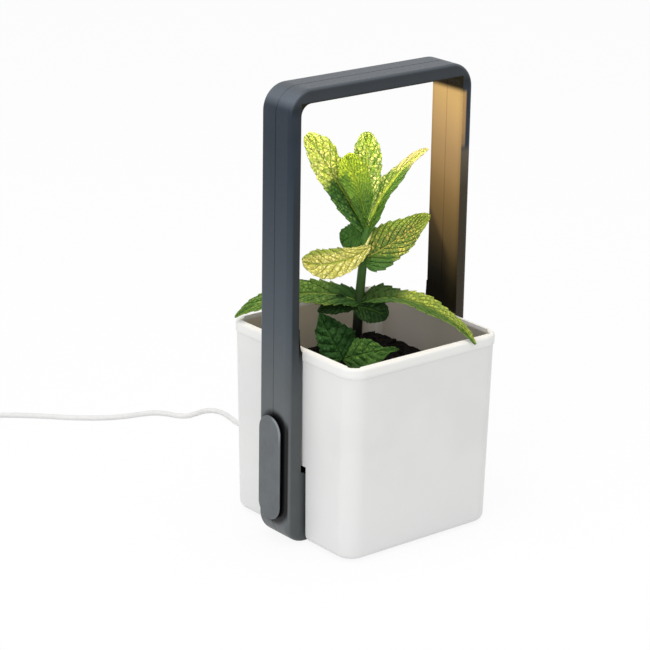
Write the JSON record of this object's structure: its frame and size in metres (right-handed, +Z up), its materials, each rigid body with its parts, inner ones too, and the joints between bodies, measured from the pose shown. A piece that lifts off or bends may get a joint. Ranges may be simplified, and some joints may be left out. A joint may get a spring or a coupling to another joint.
{
  "type": "countertop hydroponic garden",
  "caption": "Lift-out white square planter with a leafy herb, held in a slim rectangular lamp hoop that stands over it, with a push pad on one leg and a coiled cord.",
  "frame": {"origin": "on the worktop, at the middle of the base pad under the hoop", "axes": "+Z up, X from the leg with the button to the leg with the cord, -Y to the front"},
  "size_m": [0.2394, 0.3746, 0.29],
  "materials": {
    "hoop_slate": "satin, fine texture",
    "button_grey": "matte",
    "pot_white": "satin",
    "plate_grey": "matte",
    "pad_rubber": "matte",
    "screw_steel": "plain",
    "plug_steel": "plain",
    "board": "satin",
    "lamp_chip": "gloss",
    "lamp_lens": "frosted",
    "ribbon_film": "gloss",
    "switch_black": "matte",
    "lead_skin": "satin",
    "cord_white": "satin",
    "tie_white": "matte",
    "wick_felt": "felt",
    "medium_soil": "crumbly, rough",
    "stem_green": "satin",
    "leaf_bright": "crinkled, satin",
    "leaf_deep": "crinkled, satin"
  },
  "bodies": {
    "stand": {"hoop_front_shell": "hoop_slate", "hoop_back_shell": "hoop_slate", "hoop_screws": "screw_steel", "base_pad": "pad_rubber", "led_board": "board", "led_chips": "lamp_chip", "light_diffuser": "lamp_lens", "lamp_ribbon": "ribbon_film", "control_board": "board", "push_switch": "switch_black", "power_lead": "lead_skin", "cord_grommet": "cord_white", "usb_cord": "cord_white", "cord_coil": "cord_white", "cord_tail": "cord_white", "cord_tie": "tie_white", "plug_grip": "cord_white", "plug_shell": "plug_steel"},
    "planter": {"planter_pot": "pot_white", "planter_feet": "pad_rubber", "wick_plate": "plate_grey", "wicks": "wick_felt", "growing_medium": "medium_soil", "plant_stem": "stem_green", "leaf_upper_left": "leaf_bright", "leaf_inner": "leaf_bright", "leaf_centre": "leaf_bright", "leaf_upper_right": "leaf_bright", "leaf_mid_right": "leaf_bright", "leaf_mid_left": "leaf_bright", "leaf_small_back": "leaf_deep", "leaf_low_left": "leaf_deep", "leaf_low_right": "leaf_deep", "leaf_tuft_left": "leaf_deep", "leaf_tuft_right": "leaf_deep", "leaf_front_left": "leaf_deep", "leaf_front_right": "leaf_deep"},
    "button": {"light_button": "button_grey"}
  },
  "joints": [
    {"name": "planter_lift", "type": "slide", "parent": "stand", "child": "planter", "axis": [0, 0, 1], "range_m": [0, 0.03]},
    {"name": "button_press", "type": "slide", "parent": "stand", "child": "button", "axis": [1, 0, 0], "range_m": [0, 0.0007], "stiffness_N_per_m": 2000}
  ]
}
